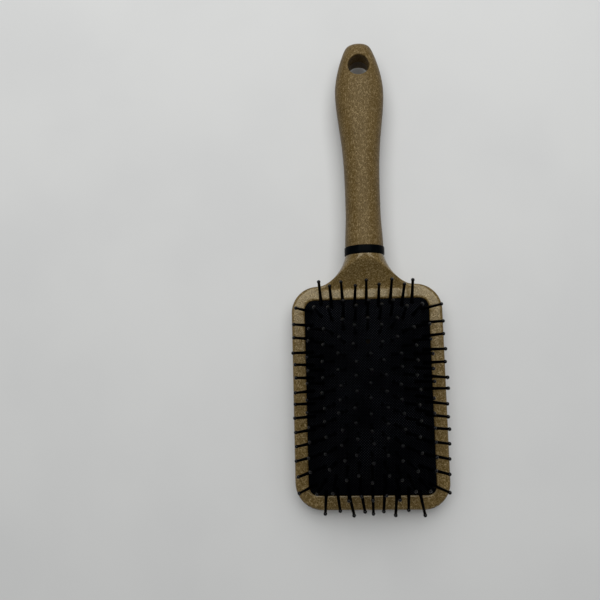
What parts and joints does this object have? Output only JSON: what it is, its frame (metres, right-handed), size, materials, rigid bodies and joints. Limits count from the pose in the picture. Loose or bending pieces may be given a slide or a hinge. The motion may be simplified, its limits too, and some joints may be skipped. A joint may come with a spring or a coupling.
{
  "type": "paddle brush",
  "caption": "Flat rectangular hair brush with an air-cushioned rubber pad of ball-tipped pins, a flared neck, a dark ring and an oval handle with a hanging hole.",
  "frame": {"origin": "middle of the box that holds the brush, at the level of the surface that its back lies on", "axes": "+Z from the back to the pins, +Y from the head to the handle's end, +X to the right seen from the pins' side with the handle up"},
  "size_m": [0.08, 0.2511, 0.04],
  "materials": {
    "straw_head": "satin, straw fibre flecks",
    "straw_handle": "satin, straw fibre flecks",
    "ring": "gloss",
    "rubber": "matt, fine cross-hatch",
    "nylon": "semi-gloss"
  },
  "bodies": {
    "paddle": {"paddle_head": "straw_head", "neck_ring": "ring", "handle": "straw_handle", "cushion": "rubber"},
    "edge_pins": {"pins_edge_left": "nylon", "pins_edge_right": "nylon", "pins_edge_handle_end": "nylon", "pins_edge_far_end": "nylon"},
    "second_pins": {"pins_second_left": "nylon", "pins_second_right": "nylon", "pins_second_handle_end": "nylon", "pins_second_far_end": "nylon"},
    "third_pins": {"pins_third_left": "nylon", "pins_third_right": "nylon", "pins_third_handle_end": "nylon", "pins_third_far_end": "nylon"},
    "fourth_pins": {"pins_fourth_left": "nylon", "pins_fourth_right": "nylon", "pins_fourth_handle_end": "nylon", "pins_fourth_far_end": "nylon"},
    "fifth_pins": {"pins_fifth_left": "nylon", "pins_fifth_right": "nylon", "pins_fifth_handle_end": "nylon", "pins_fifth_far_end": "nylon"},
    "crown_pins": {"pins_crown": "nylon"}
  },
  "joints": [
    {"name": "crown_press", "type": "slide", "parent": "paddle", "child": "crown_pins", "axis": [0, 0, -1], "range_m": [0, 0.004], "stiffness_N_per_m": 1500, "deforming": ["cushion"]},
    {"name": "fifth_press", "type": "slide", "parent": "paddle", "child": "fifth_pins", "axis": [0, 0, -1], "range_m": [0, 0.00392]},
    {"name": "fourth_press", "type": "slide", "parent": "paddle", "child": "fourth_pins", "axis": [0, 0, -1], "range_m": [0, 0.00364]},
    {"name": "third_press", "type": "slide", "parent": "paddle", "child": "third_pins", "axis": [0, 0, -1], "range_m": [0, 0.00316]},
    {"name": "second_press", "type": "slide", "parent": "paddle", "child": "second_pins", "axis": [0, 0, -1], "range_m": [0, 0.00236]},
    {"name": "edge_press", "type": "slide", "parent": "paddle", "child": "edge_pins", "axis": [0, 0, -1], "range_m": [0, 0.0012]}
  ],
  "couplings": [
    {"joint": "fifth_press", "follows": "crown_press", "ratio": 0.98},
    {"joint": "fourth_press", "follows": "crown_press", "ratio": 0.91},
    {"joint": "third_press", "follows": "crown_press", "ratio": 0.79},
    {"joint": "second_press", "follows": "crown_press", "ratio": 0.59},
    {"joint": "edge_press", "follows": "crown_press", "ratio": 0.3}
  ]
}
